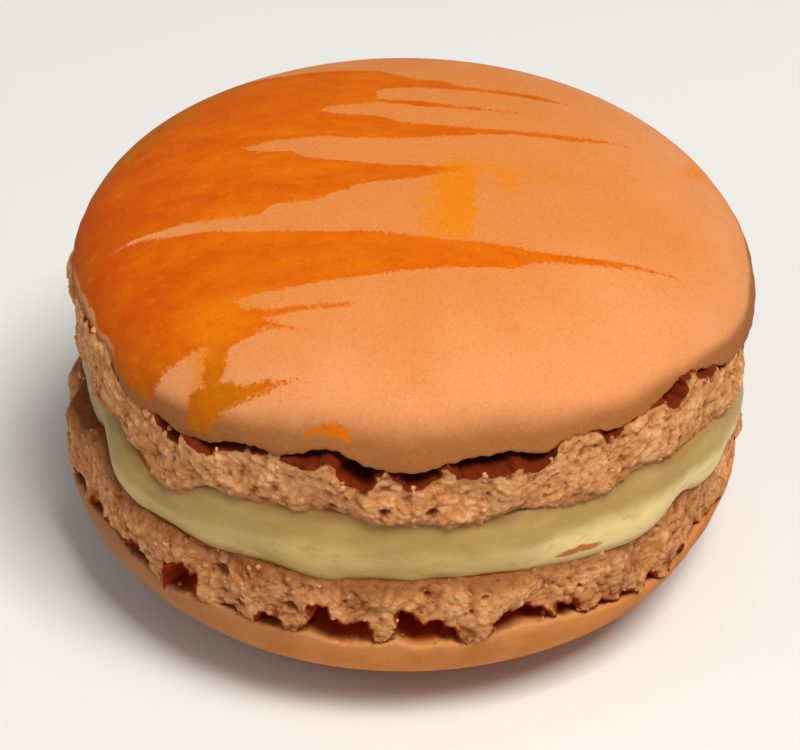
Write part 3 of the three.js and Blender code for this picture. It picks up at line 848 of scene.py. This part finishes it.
# The coat's ochre painted shade on steep walls and at the grazing edge.
SHADED_COAT = [
    [(-23, 1, 12), (-18, 4.5, 14), (-13.5, 9.5, 15.5), (-10, 14, 15.5)], [(-23, -6.5, -3), (-19.8, -5.5, -4)],
    [(-14.5, -20.5, -15.2), (-8.5, -20.5, -16)], [(-7.2, -22, -19.5), (-3.5, -22, -19.5)],
    [(-19.5, -16, -10.5), (-17.5, -16, -13), (-15.5, -16, -14.3)],
]
GLINTS = [[(-3, -20.2, -19.4), (0, -20.6, -18.8), (3.2, -20.2, -19.2)]]
FAR_OUTSIDE = -9.0
BRISTLE_STRETCH = 0.16  # along the strokes, so that their edges are ragged like a brush's
BRISTLE_NOISE = [(0.8, 0.22, 301), (0.3, 0.12, 302)]
STROKE_END_NOISE = [(0.7, 0.5, 303)]
END_STRETCH = 0.5
BARE_RIM = 0.65  # the height over the rim that the brush left bare
BARE_RIM_NOISE = [(1.5, 0.25, 304)]


def brushed(strokes, x, y):
    """How far inside any of some strokes a point is: the least of the distances to the stroke's lower and
    upper edges, which run straight from station to station, and to its two ends."""
    best = np.full(x.shape, FAR_OUTSIDE)
    for stroke in strokes:
        along, low, high = np.array(stroke, float).T
        inside = np.minimum(y - np.interp(x, along, low), np.interp(x, along, high) - y)
        best = np.maximum(best, np.minimum(inside, np.minimum(x - along[0], along[-1] - x)))
    return best


rings, fields = skin_surface(upper)
x, y = rings[..., 0], rings[..., 1]
y_bent = y + noise_sum(BRISTLE_NOISE, np.stack([x * BRISTLE_STRETCH, y, 0 * x], -1), 0)
x_bent = x + noise_sum(STROKE_END_NOISE, np.stack([x * END_STRETCH, y, 0 * x], -1), 0)
past_rim = fields["above_rim"] - BARE_RIM - noise_sum(BARE_RIM_NOISE, rings, 0)
fields["coat"] = np.minimum(brushed(STROKES, x_bent, y_bent), past_rim)
fields["thin_coat"] = brushed(THIN_COAT, x_bent, y_bent)
fields["shaded_coat"] = brushed(SHADED_COAT, x_bent, y_bent)
fields["glint"] = brushed(GLINTS, x, y)
upper_skin = ring_mesh("upper_skin", upper["way"], rings, fields)

peach = Finish("brushed peach skin")
speckle = peach.noise(0.25, 4, rough=0.75)
streaks = peach.noise(2.0, 5, stretch=(0.35, 1.0, 1.0), rough=0.6)
patches = peach.noise(4.5, 4)

# The bare skin has an ochre crown, darker patches, a painted glint in front, and a brown band over the rim
# that is partly toasted skin and partly painted shade.
crown = (peach.field("above_rim") + (patches - 0.5) * 2).between(2.5, 7.0)
skin = peach.mix(crown, screen(222, 146, 92), screen(214, 130, 64))
skin = peach.mix((patches.between(0.35, 0.75) * 0.3).capped(), skin, screen(210, 124, 66))
# Painted highlight: pale glints on the front of the skin.
glint = (peach.field("glint") + (speckle - 0.5) * 4 - 0.9).between(0.0, 0.5)
skin = peach.mix((glint * 0.6).capped(), skin, screen(232, 192, 130))
# Partly toasted brown and partly painted shade: the band over the rim, reaching highest at the front.
skin = peach.mix(rim_shade(peach, 1.0, 3.3) * 0.95, skin, screen(150, 92, 47))

# The food colour is a streaky orange, redder at the left and browner over the rim, partly toasted and partly
# painted shade, with yellow and mottled patches and an ochre painted shade on steep walls, and its thin coat
# stains the bare skin too.
# Partly toasted and partly painted shade: the food colour browns over the rim.
orange_rim = rim_shade(peach, 0.2, 1.4)
orange = peach.mix(streaks.between(0.3, 0.7), screen(216, 106, 0), screen(204, 88, 0))
left = peach.across() * -0.1
orange = peach.mix(((left + streaks * 1.6).between(1.7, 3.1) * 0.7).capped(), orange, screen(198, 70, 0))
orange = peach.mix(orange_rim * 0.6, orange, screen(170, 92, 10))
coat_shade = peach.field("shaded_coat") * 0.5 + (speckle - 0.5) * 2
yellow = screen(222, 124, 0)
thin = peach.field("thin_coat") * 0.7 + (speckle - 0.5) * 3.6 + (patches - 0.5) * 0.8
skin = peach.mix((thin.between(-0.7, 1.3) * 0.9).capped(), skin, yellow)
orange = peach.mix((thin.between(-0.7, 1.3) * 0.6).capped(), orange, yellow)
# Painted shade: the coat turns ochre on the steep walls at the left and near the front rim, and along the
# grazing edge at the top left.
orange = peach.mix((coat_shade.between(-0.6, 0.9) * 0.8).capped(), orange, screen(184, 104, 0))
mottle = peach.noise(0.9, 5, stretch=(0.5, 1.0, 1.0), rough=0.75)
orange = peach.mix((mottle.between(0.5, 0.68) * 0.45).capped(), orange, screen(196, 72, 0))
orange = peach.mix(((1 - mottle).between(0.53, 0.7) * 0.45).capped(), orange, screen(228, 124, 0))
orange = peach.mix((speckle.between(0.45, 0.75) * 0.4).capped(), orange, screen(190, 74, 0))
covered = (peach.field("coat") + (speckle - 0.5) * 0.9).between(-0.1, 0.12)
skin = peach.mix(covered, skin, orange)
pale_specks = peach.mix(covered, screen(242, 176, 112), screen(236, 136, 10))
# The last two give the painted shade under the lip and how far in it begins.
upper_skin.data.materials.append(skin_finish(
    peach, skin, screen(180, 92, 26), pale_specks, screen(118, 36, 0), 0.0))
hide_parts("upper_shell")
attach(upper_skin, "root")

# The view.
# A plain pale floor under soft studio light: a large key light high on the right in front, a weak one on the
# left, and a camera 36 degrees above the table at the photograph's angle.
TARGET = np.array([0.2, 0.0, 11.95])
CAMERA_DISTANCE = 220.0
CAMERA_ELEVATION = np.radians(36)
MM_PER_PIXEL = 1 / 15.077  # at the target
TARGET_PIXEL = np.array([411.17, 370.05])  # where the target stands in the photograph
IMAGE = np.array([800, 750])
SENSOR = 36  # the width of the camera's film
FLOOR = 2  # half its width, in metres

floor_mesh = bpy.data.meshes.new("floor")
corners = [(-FLOOR, -FLOOR, 0), (FLOOR, -FLOOR, 0), (FLOOR, FLOOR, 0), (-FLOOR, FLOOR, 0)]
floor_mesh.from_pydata(corners, [], [(0, 1, 2, 3)])
floor = bpy.data.objects.new("floor", floor_mesh)
bpy.context.collection.objects.link(floor)
pale_floor = Finish("pale floor")
floor_mesh.materials.append(pale_floor.surface(Base_Color=screen(228, 228, 226), Roughness=0.9))
floor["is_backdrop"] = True

back = np.array([0, -np.cos(CAMERA_ELEVATION), np.sin(CAMERA_ELEVATION)])
up = np.array([0, np.sin(CAMERA_ELEVATION), np.cos(CAMERA_ELEVATION)])
aside = (IMAGE / 2 - TARGET_PIXEL) * MM_PER_PIXEL
eye = TARGET + back * CAMERA_DISTANCE + np.array([aside[0], 0, 0]) - up * aside[1]
camera_data = bpy.data.cameras.new("camera")
camera_data.sensor_width = SENSOR
camera_data.lens = CAMERA_DISTANCE / MM_PER_PIXEL / IMAGE[0] * SENSOR
camera_data.clip_start = 0.01
camera = bpy.data.objects.new("camera", camera_data)
camera.location = eye * MM
camera.rotation_euler = (np.pi / 2 - CAMERA_ELEVATION, 0, 0)
bpy.context.collection.objects.link(camera)
bpy.context.scene.camera = camera


def softbox(name, azimuth, elevation, distance, size, power, colour):
    """A square light that looks at the biscuit from an azimuth and elevation in degrees, at a distance in
    metres."""
    around, above = np.radians(azimuth), np.radians(elevation)
    light = bpy.data.lights.new(name, "AREA")
    light.shape = "SQUARE"
    light.size = size
    light.energy = power
    light.color = colour
    lamp = bpy.data.objects.new(name, light)
    lamp.location = (
        distance * np.sin(around) * np.cos(above),
        -distance * np.cos(around) * np.cos(above),
        distance * np.sin(above),
    )
    lamp.rotation_euler = (np.pi / 2 - above, 0, around)
    bpy.context.collection.objects.link(lamp)


softbox("key light", 38, 64, 0.6, 0.24, 3.6, (1.0, 0.97, 0.92))
softbox("fill light", -60, 35, 0.8, 0.5, 0.6, (1.0, 0.97, 0.94))
world = bpy.data.worlds.new("studio")
world.use_nodes = True
backdrop = world.node_tree.nodes["Background"]
backdrop.inputs["Color"].default_value = (0.95, 0.96, 1.0, 1.0)
backdrop.inputs["Strength"].default_value = 0.28
bpy.context.scene.world = world
bpy.context.scene.view_settings.view_transform = "Standard"

boxes = {"cad": cad_box, "visual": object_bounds()}
boxes = {name: [[float(value) for value in corner] for corner in box] for name, box in boxes.items()}
